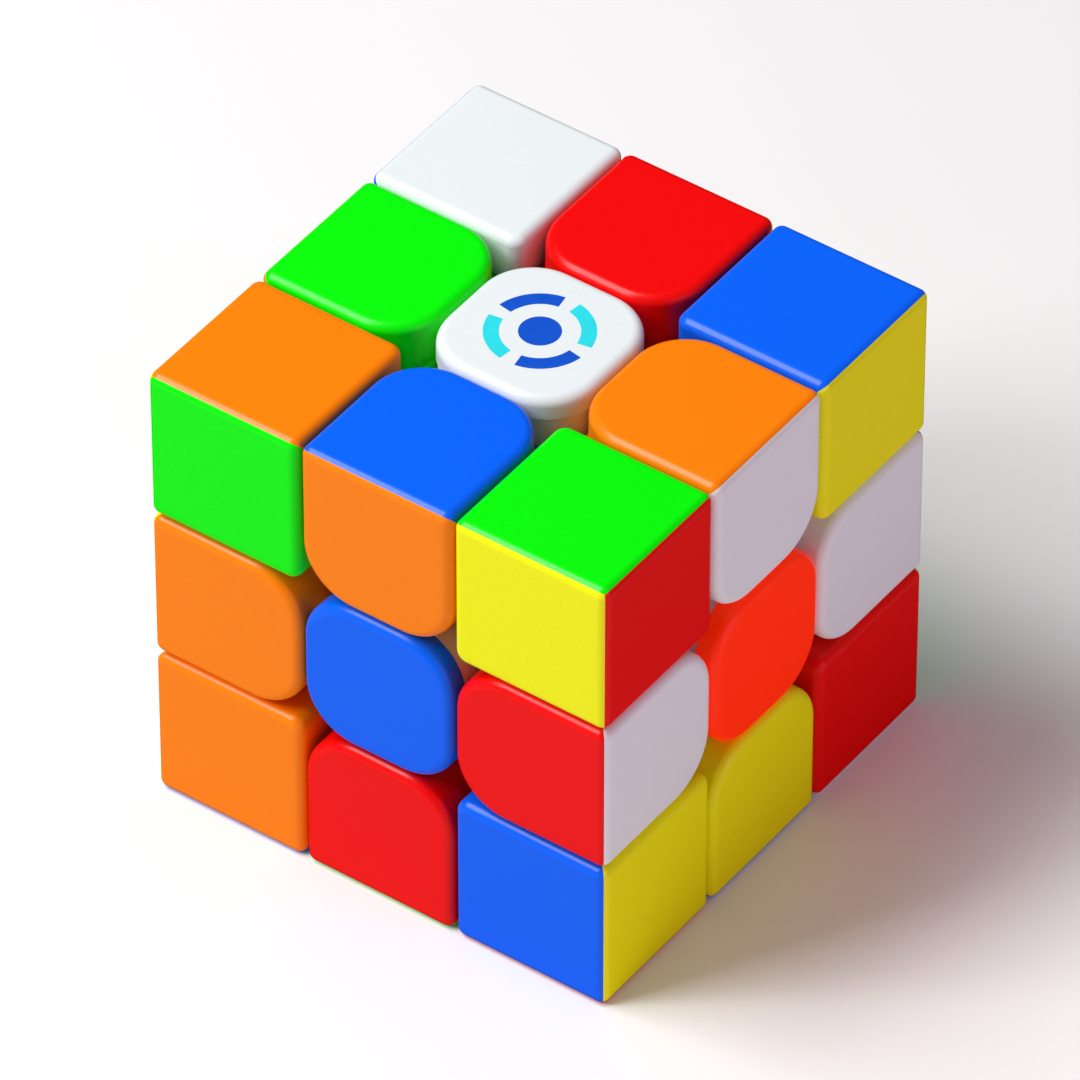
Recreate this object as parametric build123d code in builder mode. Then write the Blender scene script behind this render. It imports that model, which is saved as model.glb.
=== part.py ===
from build123d import *
import os
from math import cos, radians, sin, sqrt

# A 3x3x3 twisty puzzle cube. +Z is the up face, -Y the front face, +X the right face.
# The origin is the centre of the ball core. All sizes are in millimetres.

# Cube
cube_width = 56.0
piece_gap = 0.3
face_round = 1.1
half_width = cube_width / 2
pitch = cube_width / 3
cut_height = pitch / 2
inner_side = cut_height + piece_gap / 2
piece_width = pitch - piece_gap
outer_depth = half_width - inner_side
wall = 1.3
cavity_start = inner_side + wall
cavity_depth = outer_depth - 2 * wall

# Turning surfaces: cones and spheres about each face's axis
core_radius = 10.2
foot_inner_radius = 10.5
foot_outer_radius = 14.5
foot_angle = 66.0
neck_angle = 61.0
neck_radius = cut_height / cos(radians(neck_angle))
layer_reach = 60.0

# Corner pieces
corner_inner_round = 1.5
corner_foot_radius = 22.0
corner_plug_radius = 25.0
plug_clearance = 0.05

# Edge pieces
edge_window_round = 6.2
edge_window_depth = 5.0
edge_body_round = 3.0
edge_solid_radius = neck_radius + wall

# Centre pieces
cap_thickness = 2.6
cap_corner_round = 6.2
cap_ring_radius = 6.4
cap_ring_wall = 1.4
cap_ring_depth = 3.0
cap_clip_clearance = 0.1
base_corner_round = 5.6
base_inset = 0.3
floor_thickness = 2.0
spring_well_radius = 3.2
cap_well_depth = 8.0
screw_hole_radius = 1.45

# Core hardware
screw_shank_radius = 1.25
screw_shank_start = 4.5
insert_radius = 2.2
insert_bore_radius = 1.3
insert_start = 4.0
insert_end = 10.0
spring_radius = 2.2
spring_wire_radius = 0.25
spring_turns = 5.5
spring_end_clearance = 0.02
spring_seat_start = 17.6
seat_thickness = 0.6
seat_radius = 2.9
head_radius = 2.6
head_height = 2.0
head_round = 0.4
recess_length = 3.0
recess_width = 0.6
recess_depth = 1.1

# Each face's outward direction
face_normals = {
    "up": Vector(0, 0, 1),
    "down": Vector(0, 0, -1),
    "front": Vector(0, -1, 0),
    "back": Vector(0, 1, 0),
    "right": Vector(1, 0, 0),
    "left": Vector(-1, 0, 0),
}


def cone_point(angle, radius, growth):
    """Point (across, along) at radius on a cone about the axis, moved outwards by growth."""
    slant = sqrt(radius**2 - growth**2)
    tilt = radians(angle)
    across = slant * sin(tilt) + growth * cos(tilt)
    along = slant * cos(tilt) - growth * sin(tilt)
    return Vector(across, along)


def turning_layer(growth):
    """Everything that turns with the up face, with its surface moved outwards by growth."""
    step_radius = foot_outer_radius + growth
    foot_start = cone_point(foot_angle, foot_inner_radius / 2, growth)
    foot_end = cone_point(foot_angle, step_radius, growth)
    neck_start = cone_point(neck_angle, step_radius, growth)
    step_middle = (foot_end + neck_start).normalized() * step_radius
    plane_height = cut_height - growth
    neck_rise = (plane_height + growth * sin(radians(neck_angle))) / cos(radians(neck_angle))
    neck_end = cone_point(neck_angle, sqrt(neck_rise**2 + growth**2), growth)
    with BuildPart() as layer:
        with BuildSketch(Plane.XZ):
            with BuildLine():
                Polyline((0, foot_start.Y), foot_start, foot_end)
                ThreePointArc(foot_end, step_middle, neck_start)
                Polyline(
                    neck_start,
                    neck_end,
                    (layer_reach, plane_height),
                    (layer_reach, layer_reach),
                    (0, layer_reach),
                    (0, foot_start.Y),
                )
            make_face()
        revolve(axis=Axis.Z)
    return layer.part


own_layer_up = turning_layer(-piece_gap / 2)
own_layer_right = own_layer_up.rotate(Axis.Y, 90)
own_layer_back = own_layer_up.rotate(Axis.X, -90)
other_layer_up = turning_layer(piece_gap / 2)
other_layers_beside_edge = [other_layer_up.rotate(Axis.X, angle) for angle in (90, -90)]
other_layers_beside_centre = [
    other_layer_up.rotate(axis, angle) for axis in (Axis.X, Axis.Y) for angle in (90, -90)
]


# Corner piece, modelled between the up, right and back faces
with BuildPart() as corner_blank:
    with BuildSketch(Plane.XY.offset(inner_side)):
        with Locations((inner_side, inner_side)):
            Rectangle(outer_depth, outer_depth, align=(Align.MIN, Align.MIN))
    extrude(amount=outer_depth)
    fillet(corner_blank.edges().sort_by_distance((0, 0, 0))[:3], corner_inner_round)
    outline = [corner_blank.faces().sort_by(axis)[-1].edges() for axis in (Axis.X, Axis.Y, Axis.Z)]
    fillet(set(outline[0] + outline[1] + outline[2]), face_round)
    Sphere(neck_radius)
    Sphere(foot_inner_radius, mode=Mode.SUBTRACT)
    add(own_layer_up, mode=Mode.INTERSECT)
    add(own_layer_right, mode=Mode.INTERSECT)
    add(own_layer_back, mode=Mode.INTERSECT)

with BuildPart() as corner_cavity:
    with BuildSketch(Plane.XY.offset(cavity_start)):
        with Locations((cavity_start, cavity_start)):
            Rectangle(cavity_depth, cavity_depth, align=(Align.MIN, Align.MIN))
    extrude(amount=cavity_depth)

with BuildPart() as corner_shell:
    add(corner_blank.part)
    Sphere(corner_foot_radius, mode=Mode.SUBTRACT)
    add(corner_cavity.part, mode=Mode.SUBTRACT)

plug_start = cavity_start + plug_clearance

with BuildPart() as corner_plug:
    with BuildSketch(Plane.XY.offset(plug_start)):
        with Locations((plug_start, plug_start)):
            Rectangle(cavity_depth, cavity_depth, align=(Align.MIN, Align.MIN))
    extrude(amount=cavity_depth)
    Sphere(corner_plug_radius, mode=Mode.INTERSECT)

with BuildPart() as corner_foot:
    add(corner_blank.part)
    Sphere(corner_foot_radius, mode=Mode.INTERSECT)
    add(corner_plug.part)

with BuildPart() as corner_tile:
    add(corner_shell.part)
    split(bisect_by=Plane(origin=(0, 0, 0), z_dir=(-1, 0, 1)), keep=Keep.TOP)
    split(bisect_by=Plane(origin=(0, 0, 0), z_dir=(0, -1, 1)), keep=Keep.TOP)

body_diagonal = Axis((0, 0, 0), (1, 1, 1))
corner_tiles = [corner_tile.part.rotate(body_diagonal, angle) for angle in (0, 120, 240)]

# Edge piece, modelled between the up and right faces, with its length along Y
with BuildSketch() as edge_window:
    with Locations((inner_side, 0)):
        Rectangle(outer_depth, piece_width, align=(Align.MIN, Align.CENTER))
    fillet(edge_window.vertices().group_by(Axis.X)[0], edge_window_round)

edge_mitre = Plane(origin=(0, 0, 0), z_dir=(-1, 0, 1))

with BuildPart() as edge_relief:
    with BuildSketch(Plane.XY.offset(half_width - edge_window_depth)):
        with Locations((inner_side, 0)):
            Rectangle(outer_depth, piece_width, align=(Align.MIN, Align.CENTER))
        add(edge_window.sketch, mode=Mode.SUBTRACT)
    extrude(amount=edge_window_depth)
    mirror(about=edge_mitre)

with BuildPart() as edge_blank:
    with BuildSketch(Plane.XY.offset(inner_side)) as across_up:
        with Locations((inner_side, 0)):
            Rectangle(outer_depth, piece_width, align=(Align.MIN, Align.CENTER))
        fillet(across_up.vertices().group_by(Axis.X)[0], edge_body_round)
    extrude(amount=outer_depth)
    with BuildSketch(Plane.YZ.offset(inner_side)) as across_right:
        with Locations((0, inner_side)):
            Rectangle(piece_width, outer_depth, align=(Align.CENTER, Align.MIN))
        fillet(across_right.vertices().group_by(Axis.Y)[0], edge_body_round)
    extrude(amount=outer_depth, mode=Mode.INTERSECT)
    add(edge_relief.part, mode=Mode.SUBTRACT)
    outline = [edge_blank.faces().sort_by(axis)[-1].edges() for axis in (Axis.X, Axis.Z)]
    fillet(set(outline[0] + outline[1]), face_round)
    Sphere(neck_radius)
    Sphere(foot_inner_radius, mode=Mode.SUBTRACT)
    add(own_layer_up, mode=Mode.INTERSECT)
    add(own_layer_right, mode=Mode.INTERSECT)
    for layer in other_layers_beside_edge:
        add(layer, mode=Mode.SUBTRACT)

edge_cavity_length = piece_width - 2 * wall

with BuildPart() as edge_cavity:
    with BuildSketch(Plane.XY.offset(cavity_start)) as cavity_across_up:
        with Locations((cavity_start, 0)):
            Rectangle(cavity_depth, edge_cavity_length, align=(Align.MIN, Align.CENTER))
        fillet(cavity_across_up.vertices().group_by(Axis.X)[0], edge_window_round - wall)
    extrude(amount=cavity_depth)
    with BuildSketch(Plane.YZ.offset(cavity_start)) as cavity_across_right:
        with Locations((0, cavity_start)):
            Rectangle(edge_cavity_length, cavity_depth, align=(Align.CENTER, Align.MIN))
        fillet(cavity_across_right.vertices().group_by(Axis.Y)[0], edge_window_round - wall)
    extrude(amount=cavity_depth, mode=Mode.INTERSECT)
    Sphere(edge_solid_radius, mode=Mode.SUBTRACT)

with BuildPart() as edge_half:
    add(edge_blank.part)
    add(edge_cavity.part, mode=Mode.SUBTRACT)
    split(bisect_by=edge_mitre, keep=Keep.TOP)

edge_halves = [edge_half.part, edge_half.part.mirror(edge_mitre)]

# Centre piece, modelled at the up face
cap_base = half_width - cap_thickness
base_width = piece_width - 2 * base_inset

with BuildPart() as centre_base:
    with BuildSketch(Plane.XY.offset(inner_side)):
        RectangleRounded(base_width, base_width, base_corner_round)
    extrude(amount=cap_base - inner_side)
    Sphere(neck_radius)
    Sphere(foot_inner_radius, mode=Mode.SUBTRACT)
    add(own_layer_up, mode=Mode.INTERSECT)
    for layer in other_layers_beside_centre:
        add(layer, mode=Mode.SUBTRACT)
    with BuildSketch(Plane.XY):
        Circle(screw_hole_radius)
    extrude(amount=half_width, mode=Mode.SUBTRACT)
    with BuildSketch(Plane.XY.offset(foot_inner_radius + floor_thickness)):
        Circle(spring_well_radius)
    extrude(amount=half_width, mode=Mode.SUBTRACT)
    with BuildSketch(Plane.XY.offset(cap_base - cap_well_depth)):
        Circle(cap_ring_radius + cap_clip_clearance)
    extrude(amount=half_width, mode=Mode.SUBTRACT)

with BuildPart() as centre_cap:
    with BuildSketch(Plane.XY.offset(cap_base)):
        RectangleRounded(piece_width, piece_width, cap_corner_round)
    extrude(amount=cap_thickness)
    fillet(centre_cap.faces().sort_by(Axis.Z)[-1].edges(), face_round)
    with BuildSketch(Plane.XY.offset(cap_base - cap_ring_depth)):
        Circle(cap_ring_radius)
        Circle(cap_ring_radius - cap_ring_wall, mode=Mode.SUBTRACT)
    extrude(amount=cap_ring_depth)

# Core and its six threaded inserts
insert_places = [Plane(origin=normal * insert_start, z_dir=normal) for normal in face_normals.values()]
bottom_centred = (Align.CENTER, Align.CENTER, Align.MIN)

with BuildPart() as core:
    Sphere(core_radius)
    with Locations(insert_places):
        Cylinder(insert_radius, core_radius, align=bottom_centred, mode=Mode.SUBTRACT)

with BuildPart() as core_inserts:
    with Locations(insert_places):
        Cylinder(insert_radius, insert_end - insert_start, align=bottom_centred)
        Cylinder(insert_bore_radius, insert_end - insert_start, align=bottom_centred, mode=Mode.SUBTRACT)

# Tension screw, spring and spring seat, modelled under the up face's cap
head_start = spring_seat_start + seat_thickness

with BuildPart() as tension_screw:
    with BuildSketch(Plane.XY.offset(screw_shank_start)):
        Circle(screw_shank_radius)
    extrude(amount=head_start - screw_shank_start)
    with BuildSketch(Plane.XY.offset(head_start)):
        Circle(head_radius)
    extrude(amount=head_height)
    fillet(tension_screw.edges().group_by(Axis.Z)[-1], head_round)
    with BuildSketch(Plane.XY.offset(head_start + head_height - recess_depth)):
        Rectangle(recess_length, recess_width)
        Rectangle(recess_width, recess_length)
    extrude(amount=recess_depth, mode=Mode.SUBTRACT)

spring_margin = spring_wire_radius + spring_end_clearance
spring_start = foot_inner_radius + floor_thickness + spring_margin
spring_height = spring_seat_start - spring_margin - spring_start

with BuildPart() as spring:
    with BuildLine(Plane.XY.offset(spring_start)):
        coil = Helix(pitch=spring_height / spring_turns, height=spring_height, radius=spring_radius)
    with BuildSketch(Plane(origin=coil @ 0, z_dir=coil % 0)):
        Circle(spring_wire_radius)
    sweep()

with BuildPart() as spring_seat:
    with BuildSketch(Plane.XY.offset(spring_seat_start)):
        Circle(seat_radius)
        Circle(screw_hole_radius, mode=Mode.SUBTRACT)
    extrude(amount=seat_thickness)


def frame_between(first, second):
    """Frame whose Z points out of the first face and whose X points out of the second."""
    return Plane(origin=(0, 0, 0), x_dir=face_normals[second], z_dir=face_normals[first])


def save_copy(name, solids, frame):
    """Write a copy of the solids, moved from the modelling frame to the given frame."""
    placed = [solid.moved(frame.location) for solid in solids]
    piece = placed[0] if len(placed) == 1 else Compound(children=placed)
    piece.label = name
    export_step(piece, f"parts/{name}.step")


os.makedirs("parts", exist_ok=True)

core.part.label = "core"
export_step(core.part, "parts/core.step")
core_inserts.part.label = "core_inserts"
export_step(core_inserts.part, "parts/core_inserts.step")

centre_pieces = {
    "centre_base": centre_base,
    "centre_cap": centre_cap,
    "tension_screw": tension_screw,
    "spring": spring,
    "spring_seat": spring_seat,
}
for face, normal in face_normals.items():
    for piece_name, piece in centre_pieces.items():
        save_copy(f"{piece_name}_{face}", [piece.part], Plane(origin=(0, 0, 0), z_dir=normal))

ends = ("up", "down")
depths = ("front", "back")
sides = ("right", "left")
edge_places = [(first, second) for first in ends for second in depths + sides]
edge_places += [(first, second) for first in depths for second in sides]
for first, second in edge_places:
    save_copy(f"edge_{first}_{second}", edge_halves, frame_between(first, second))

for end in ends:
    for depth in depths:
        for side in sides:
            third = face_normals[end].cross(face_normals[depth])
            next_face = depth if (third - face_normals[side]).length < 1 else side
            frame = frame_between(end, next_face)
            save_copy(f"corner_{end}_{depth}_{side}", corner_tiles, frame)
            save_copy(f"corner_foot_{end}_{depth}_{side}", [corner_foot.part], frame)
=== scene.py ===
import math

import bmesh
import bpy
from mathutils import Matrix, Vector


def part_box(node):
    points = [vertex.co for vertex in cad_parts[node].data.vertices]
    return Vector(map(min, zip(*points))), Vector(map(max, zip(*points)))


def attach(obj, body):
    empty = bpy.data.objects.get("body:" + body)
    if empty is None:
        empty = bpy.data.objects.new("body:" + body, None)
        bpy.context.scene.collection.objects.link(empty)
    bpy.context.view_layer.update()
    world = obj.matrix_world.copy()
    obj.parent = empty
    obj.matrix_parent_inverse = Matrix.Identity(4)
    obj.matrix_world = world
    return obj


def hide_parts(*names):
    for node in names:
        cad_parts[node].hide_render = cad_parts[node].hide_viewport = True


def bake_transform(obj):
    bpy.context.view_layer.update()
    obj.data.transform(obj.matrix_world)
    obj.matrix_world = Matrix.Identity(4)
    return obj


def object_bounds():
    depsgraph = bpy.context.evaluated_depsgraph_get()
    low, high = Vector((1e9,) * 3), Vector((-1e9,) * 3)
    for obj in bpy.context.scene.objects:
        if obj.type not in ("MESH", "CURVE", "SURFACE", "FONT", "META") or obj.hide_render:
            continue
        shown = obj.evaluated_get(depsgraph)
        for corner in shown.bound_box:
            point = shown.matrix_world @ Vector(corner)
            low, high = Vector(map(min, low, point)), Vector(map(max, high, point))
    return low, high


MM = 0.001

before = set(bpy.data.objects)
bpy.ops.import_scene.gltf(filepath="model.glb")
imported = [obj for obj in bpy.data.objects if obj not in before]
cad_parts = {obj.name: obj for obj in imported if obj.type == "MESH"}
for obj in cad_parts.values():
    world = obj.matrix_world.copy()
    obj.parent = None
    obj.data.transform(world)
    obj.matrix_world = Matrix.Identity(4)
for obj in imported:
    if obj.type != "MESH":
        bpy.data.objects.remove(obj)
cad_low, cad_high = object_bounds()

# The cube's colours, face by face, each seen from outside with its rows from top to bottom.
# The up face is seen with the front face below it, the down face with the front face above it.
FACELETS = {
    "up": ["white red blue", "green white orange", "orange blue green"],
    "front": ["green orange yellow", "orange blue red", "orange red blue"],
    "right": ["red white yellow", "white deep_orange white", "yellow yellow red"],
    "back": ["orange yellow red", "blue green white", "green yellow green"],
    "left": ["blue orange yellow", "green red yellow", "orange blue white"],
    "down": ["blue green red", "red yellow blue", "white green white"],
}

NORMALS = {
    "up": Vector((0, 0, 1)),
    "down": Vector((0, 0, -1)),
    "front": Vector((0, -1, 0)),
    "back": Vector((0, 1, 0)),
    "right": Vector((1, 0, 0)),
    "left": Vector((-1, 0, 0)),
}

# The direction in which each face's columns run, and in which its rows run
COLUMN_RUN = {
    "up": "right",
    "front": "right",
    "right": "back",
    "back": "left",
    "left": "front",
    "down": "right",
}
ROW_RUN = {
    "up": "front",
    "front": "down",
    "right": "down",
    "back": "down",
    "left": "down",
    "down": "back",
}

# Base colours as a picture shows them, from 0 to 255
PLASTIC_COLOURS = {
    "white": (233, 240, 242),
    "yellow": (244, 244, 6),
    "red": (244, 2, 4),
    "orange": (255, 132, 2),
    "deep_orange": (255, 44, 1),
    "blue": (2, 100, 250),
    "green": (2, 248, 4),
}


def linear(colour):
    """Linear RGBA of a colour given from 0 to 255."""
    channels = []
    for value in colour:
        part = value / 255
        channels.append(part / 12.92 if part <= 0.04045 else ((part + 0.055) / 1.055) ** 2.4)
    return (*channels, 1.0)


def shade(colour, factor):
    """The colour made lighter or darker by a factor."""
    return (*[min(1.0, channel * factor) for channel in colour[:3]], 1.0)


# ---------------------------------------------------------------- materials


class NodeTree:
    """A material's nodes, added and joined by short calls."""

    def __init__(self, name):
        self.material = bpy.data.materials.new(name)
        self.material.use_nodes = True
        self.nodes = self.material.node_tree.nodes
        self.links = self.material.node_tree.links
        self.shader = self.nodes["Principled BSDF"]
        self.place = self.nodes.new("ShaderNodeTexCoord").outputs["Object"]

    def noise(self, scale, detail=3.0):
        node = self.nodes.new("ShaderNodeTexNoise")
        node.inputs["Scale"].default_value = scale
        node.inputs["Detail"].default_value = detail
        self.links.new(self.place, node.inputs["Vector"])
        return node.outputs["Fac"]

    def ramp(self, factor, low, high, start=0.3, end=0.7):
        """A colour or grey that goes from low to high as the factor goes from start to end."""
        node = self.nodes.new("ShaderNodeValToRGB")
        first, last = node.color_ramp.elements
        first.position = start
        last.position = end
        first.color = low if isinstance(low, tuple) else (low, low, low, 1)
        last.color = high if isinstance(high, tuple) else (high, high, high, 1)
        self.links.new(factor, node.inputs["Fac"])
        return node.outputs["Color"]

    def bump(self, height, strength, distance):
        node = self.nodes.new("ShaderNodeBump")
        node.inputs["Strength"].default_value = strength
        node.inputs["Distance"].default_value = distance
        self.links.new(height, node.inputs["Height"])
        return node.outputs["Normal"]

    def wire(self, output, socket):
        self.links.new(output, self.shader.inputs[socket])

    def set(self, **values):
        for name, value in values.items():
            self.shader.inputs[name.replace("_", " ")].default_value = value


def moulded_plastic(name, colour, roughness=0.3, grain=0.08):
    """Plastic coloured all through, with the fine satin grain of a moulded face."""
    grain_height = 0.003 * MM
    tree = NodeTree(name)
    tint = tree.ramp(tree.noise(scale=2600, detail=2.0), shade(colour, 0.985), shade(colour, 1.01))
    satin = tree.ramp(tree.noise(scale=1900, detail=2.0), roughness - 0.02, roughness + 0.03)
    tree.wire(tint, "Base Color")
    tree.wire(satin, "Roughness")
    tree.wire(tree.bump(tree.noise(scale=5200, detail=2.0), grain, grain_height), "Normal")
    return tree


# A weak surface reflection keeps the moulded colours deep
PLASTIC_IOR = 1.46
PLASTIC_REFLECTION = 0.32

# Painted glow: the deep orange cap gives out a little light of its own colour, though it is no lamp, so
# that it shows brighter on the shaded right face
PAINTED_GLOW = {"deep_orange": 0.3}

PLASTICS = {}
for colour_name, picture_colour in PLASTIC_COLOURS.items():
    base_colour = linear(picture_colour)
    plastic = moulded_plastic(f"{colour_name}_plastic", base_colour)
    plastic.set(IOR=PLASTIC_IOR, Specular_IOR_Level=PLASTIC_REFLECTION)
    # Painted glow: emission in the plastic's own colour, for the colours listed above
    if colour_name in PAINTED_GLOW:
        plastic.set(Emission_Color=base_colour, Emission_Strength=PAINTED_GLOW[colour_name])
    PLASTICS[colour_name] = plastic.material

INNER_COLOUR = linear((232, 230, 224))
INNER_PLASTIC = moulded_plastic("inner_plastic", INNER_COLOUR, roughness=0.42, grain=0.2).material


def turned_metal(name, colour, roughness):
    """Bare metal with the fine streaks that turning and plating leave."""
    tree = NodeTree(name)
    tree.set(Metallic=1.0)
    tree.wire(tree.ramp(tree.noise(scale=900), shade(colour, 0.85), shade(colour, 1.1)), "Base Color")
    tree.wire(tree.ramp(tree.noise(scale=3000, detail=5.0), roughness - 0.08, roughness + 0.1), "Roughness")
    tree.wire(tree.bump(tree.noise(scale=6000), 0.15, 0.005 * MM), "Normal")
    return tree.material


STEEL = turned_metal("zinc_plated_steel", linear((190, 192, 196)), 0.28)
BRASS = turned_metal("turned_brass", linear((214, 178, 104)), 0.3)


def printed_ink(name, colour):
    """A thin, slightly uneven layer of printed ink."""
    tree = NodeTree(name)
    tree.wire(tree.ramp(tree.noise(scale=700), shade(colour, 0.94), shade(colour, 1.03)), "Base Color")
    tree.wire(tree.ramp(tree.noise(scale=1500), 0.34, 0.46), "Roughness")
    tree.wire(tree.bump(tree.noise(scale=4000), 0.2, 0.004 * MM), "Normal")
    return tree.material


# ---------------------------------------------------------------- coloured tiles


def faces_of(node_name):
    """The cube faces that a node's name gives, in order."""
    return [word for word in node_name.split("_") if word in NORMALS]


def facelet_colour(face, piece_faces):
    """The colour that a piece shows on one of its faces."""
    place = sum((NORMALS[name] for name in piece_faces), Vector())
    column = 1 + round(place.dot(NORMALS[COLUMN_RUN[face]]))
    row = 1 + round(place.dot(NORMALS[ROW_RUN[face]]))
    return FACELETS[face][row].split()[column]


def tile_mesh(node_name, face, piece_faces):
    """The part of a node's mesh that is nearer to one face than to the piece's other faces."""
    inside_step = 0.01 * MM
    weld_distance = 0.001 * MM
    mesh = bmesh.new()
    mesh.from_mesh(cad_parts[node_name].data)
    others = []
    for polygon in mesh.faces:
        inside = polygon.calc_center_median() - polygon.normal * inside_step
        nearest = max(piece_faces, key=lambda name: inside.dot(NORMALS[name]))
        if nearest != face:
            others.append(polygon)
    bmesh.ops.delete(mesh, geom=others, context="FACES")
    bmesh.ops.remove_doubles(mesh, verts=mesh.verts, dist=weld_distance)
    bmesh.ops.dissolve_degenerate(mesh, edges=mesh.edges, dist=weld_distance)
    tile = bpy.data.meshes.new(f"{node_name}.{face}")
    mesh.to_mesh(tile)
    mesh.free()
    return tile


def smooth_shading(piece):
    """Round faces shade smoothly, flat faces stay flat, and sharp edges stay sharp."""
    sharp_angle = math.radians(32)
    piece.data.shade_smooth()
    piece.data.set_sharp_from_angle(angle=sharp_angle)
    weighted = piece.modifiers.new("weighted_normals", "WEIGHTED_NORMAL")
    weighted.keep_sharp = True
    weighted.weight = 100


def show(mesh, material, body=None):
    """Put a mesh in the scene as a piece with one material, on a body where one is given."""
    piece = bpy.data.objects.new(mesh.name, mesh)
    bpy.context.scene.collection.objects.link(piece)
    piece.data.materials.clear()
    piece.data.materials.append(material)
    if body:
        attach(piece, body)
    return piece


def coloured_tiles(node_name):
    """Split an edge or corner node into its coloured tiles."""
    piece_faces = faces_of(node_name)
    for face in piece_faces:
        colour = facelet_colour(face, piece_faces)
        tile = show(tile_mesh(node_name, face, piece_faces), PLASTICS[colour], node_name)
        tile.name = f"{node_name}_{face}_{colour}"
        smooth_shading(tile)
        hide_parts(node_name)


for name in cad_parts:
    if name.startswith("edge_") or (name.startswith("corner_") and "foot" not in name):
        coloured_tiles(name)


# ---------------------------------------------------------------- pieces whose CAD shape is shown


def finish_node(name, material):
    """Give a CAD node a material."""
    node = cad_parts[name]
    node.data.materials.clear()
    node.data.materials.append(material)


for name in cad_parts:
    if name.startswith("centre_cap"):
        face = faces_of(name)[0]
        finish_node(name, PLASTICS[facelet_colour(face, [face])])
    elif name.startswith(("centre_base", "corner_foot")) or name == "core":
        finish_node(name, INNER_PLASTIC)
    elif name == "core_inserts":
        finish_node(name, BRASS)
    elif name.startswith(("tension_screw", "spring_seat")):
        finish_node(name, STEEL)


# ---------------------------------------------------------------- springs


def working_spring(face):
    """A face's spring, shown as a steel copy of its CAD node."""
    node_name = f"spring_{face}"
    spring = show(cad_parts[node_name].data.copy(), STEEL)
    spring.name = f"{node_name}_coil"
    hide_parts(node_name)
    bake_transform(spring)


for face in NORMALS:
    working_spring(face)


# ---------------------------------------------------------------- printed mark on the up face's cap

CYAN_INK = printed_ink("cyan_ink", linear((40, 226, 236)))
BLUE_INK = printed_ink("blue_ink", linear((0, 84, 210)))


def printed_shape(name, outlines, material):
    """A thin printed layer on the up face's cap, from closed outlines in the cap's plane."""
    ink_above = 0.012 * MM
    ink_below = 0.02 * MM
    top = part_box("centre_cap_up")[1].z
    mesh = bmesh.new()
    for outline in outlines:
        ground = [mesh.verts.new((x, y, top - ink_below)) for x, y in outline]
        underside = mesh.faces.new(ground)
        grown = bmesh.ops.extrude_face_region(mesh, geom=[underside])
        lifted = [item for item in grown["geom"] if isinstance(item, bmesh.types.BMVert)]
        bmesh.ops.translate(mesh, verts=lifted, vec=(0, 0, ink_above + ink_below))
    bmesh.ops.recalc_face_normals(mesh, faces=mesh.faces)
    printed = bpy.data.meshes.new(name)
    mesh.to_mesh(printed)
    mesh.free()
    return show(printed, material, "cap_up")


def arc_band(inner, outer, start, end, steps=24):
    """Outline of a band between two circles, from one angle to another, in degrees."""
    angles = [math.radians(start + (end - start) * step / steps) for step in range(steps + 1)]
    outside = [(outer * math.cos(angle), outer * math.sin(angle)) for angle in angles]
    inside = [(inner * math.cos(angle), inner * math.sin(angle)) for angle in reversed(angles)]
    return outside + inside


ring_inner = 4.1 * MM
ring_outer = 5.7 * MM
gap_angle = 9
quarters = [
    arc_band(ring_inner, ring_outer, turn + gap_angle, turn + 90 - gap_angle)
    for turn in (0, 90, 180, 270)
]
dot_radius = 2.2 * MM
dot_sides = 48
dot = [
    (dot_radius * math.cos(math.tau * side / dot_sides), dot_radius * math.sin(math.tau * side / dot_sides))
    for side in range(dot_sides)
]
printed_shape("printed_ring_cyan", [quarters[0], quarters[2]], CYAN_INK)
printed_shape("printed_ring_blue", [quarters[1], quarters[3], dot], BLUE_INK)


# ---------------------------------------------------------------- floor, light and camera


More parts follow.
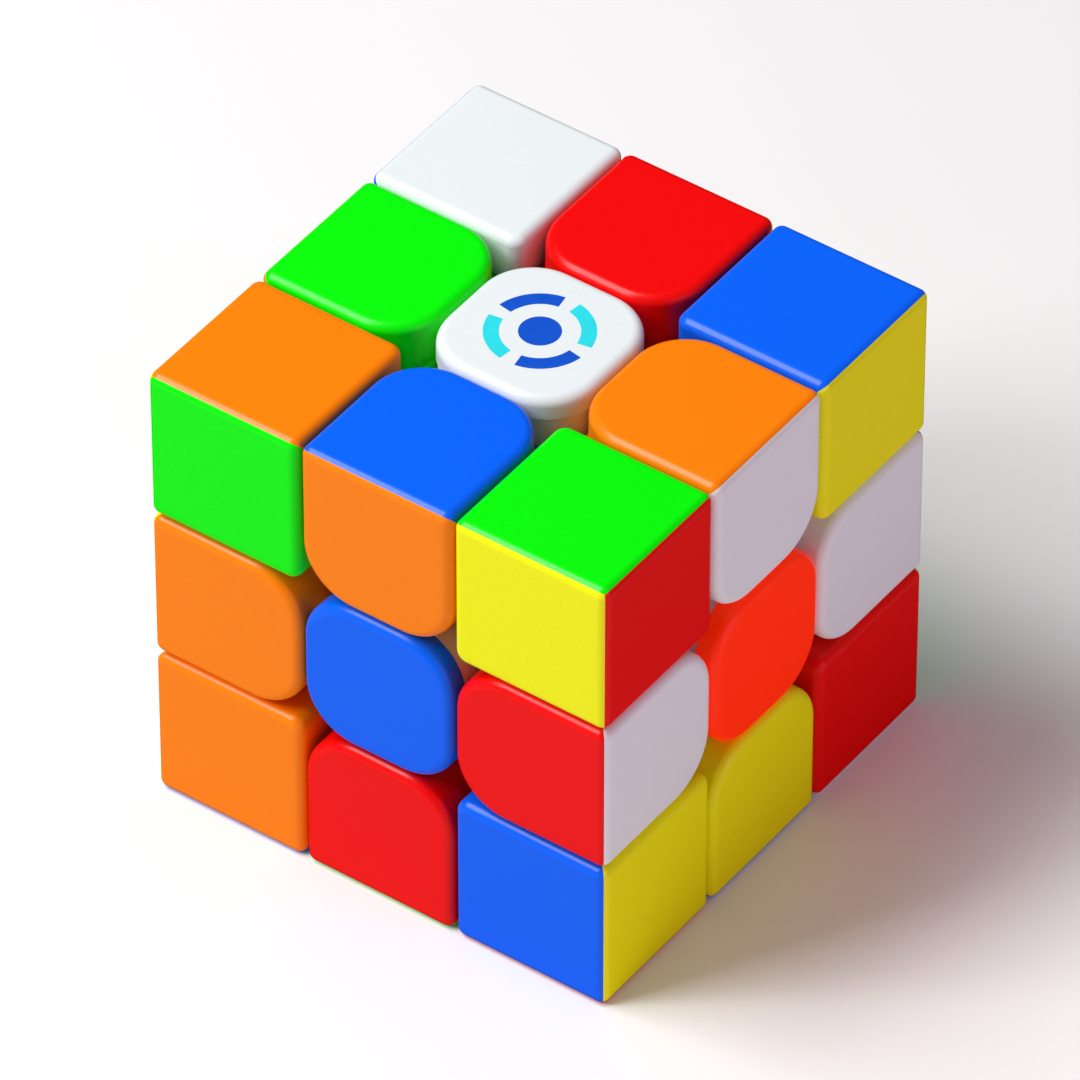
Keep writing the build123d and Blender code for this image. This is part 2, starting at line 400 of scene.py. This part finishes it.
def floor():
    """A plain pale floor that the cube stands on, kept out of the cube's reflections."""
    reach = 3.0
    mesh = bpy.data.meshes.new("floor")
    corners = [(-reach, -reach), (reach, -reach), (reach, reach), (-reach, reach)]
    mesh.from_pydata([(x, y, cad_low.z) for x, y in corners], [], [(0, 1, 2, 3)])
    piece = bpy.data.objects.new("floor", mesh)
    bpy.context.scene.collection.objects.link(piece)
    tree = NodeTree("floor")
    tree.set(Roughness=0.9, Specular_IOR_Level=0.0)
    tree.wire(tree.ramp(tree.noise(scale=6), (0.93, 0.93, 0.93, 1), (0.95, 0.95, 0.95, 1)), "Base Color")
    mesh.materials.append(tree.material)
    piece.visible_glossy = False


def soft_light(name, direction, size, power, colour=(1, 1, 1)):
    """A square soft light that faces the cube from the given direction."""
    distance = 0.9
    light = bpy.data.lights.new(name, "AREA")
    light.size = size
    light.energy = power
    light.color = colour
    lamp = bpy.data.objects.new(name, light)
    place = Vector(direction).normalized()
    lamp.location = place * distance
    lamp.rotation_euler = place.to_track_quat("Z", "Y").to_euler()
    bpy.context.scene.collection.objects.link(lamp)


def surroundings():
    """An even white room, kept out of the cube's reflections so that its colours stay deep."""
    strength = 0.22
    world = bpy.data.worlds.new("room")
    world.use_nodes = True
    bpy.context.scene.world = world
    background = world.node_tree.nodes["Background"]
    background.inputs["Color"].default_value = (1, 1, 1, 1)
    background.inputs["Strength"].default_value = strength
    world.cycles_visibility.glossy = False


def camera():
    """A long lens that looks down on the cube over its front right edge."""
    azimuth = math.radians(35.7)
    elevation = math.radians(42.1)
    distance = 1.25
    view_width = 109.0 * MM
    sensor_width = 36.0
    back = Vector((
        math.sin(azimuth) * math.cos(elevation),
        -math.cos(azimuth) * math.cos(elevation),
        math.sin(elevation),
    ))
    lens = bpy.data.cameras.new("camera")
    lens.sensor_width = sensor_width
    lens.lens = sensor_width * distance / view_width
    viewer = bpy.data.objects.new("camera", lens)
    viewer.location = back * distance
    viewer.rotation_euler = back.to_track_quat("Z", "Y").to_euler()
    bpy.context.scene.collection.objects.link(viewer)
    bpy.context.scene.camera = viewer


floor()
surroundings()
soft_light("key", (-0.4, -0.22, 0.88), size=0.36, power=4.7)
soft_light("edge_light", (-0.44, -0.57, 0.69), size=0.3, power=3.8)
soft_light("rose_fill", (0.95, -0.1, 0.25), size=0.6, power=1.7, colour=(1.0, 0.42, 0.72))
camera()
bpy.context.scene.view_settings.view_transform = "Standard"
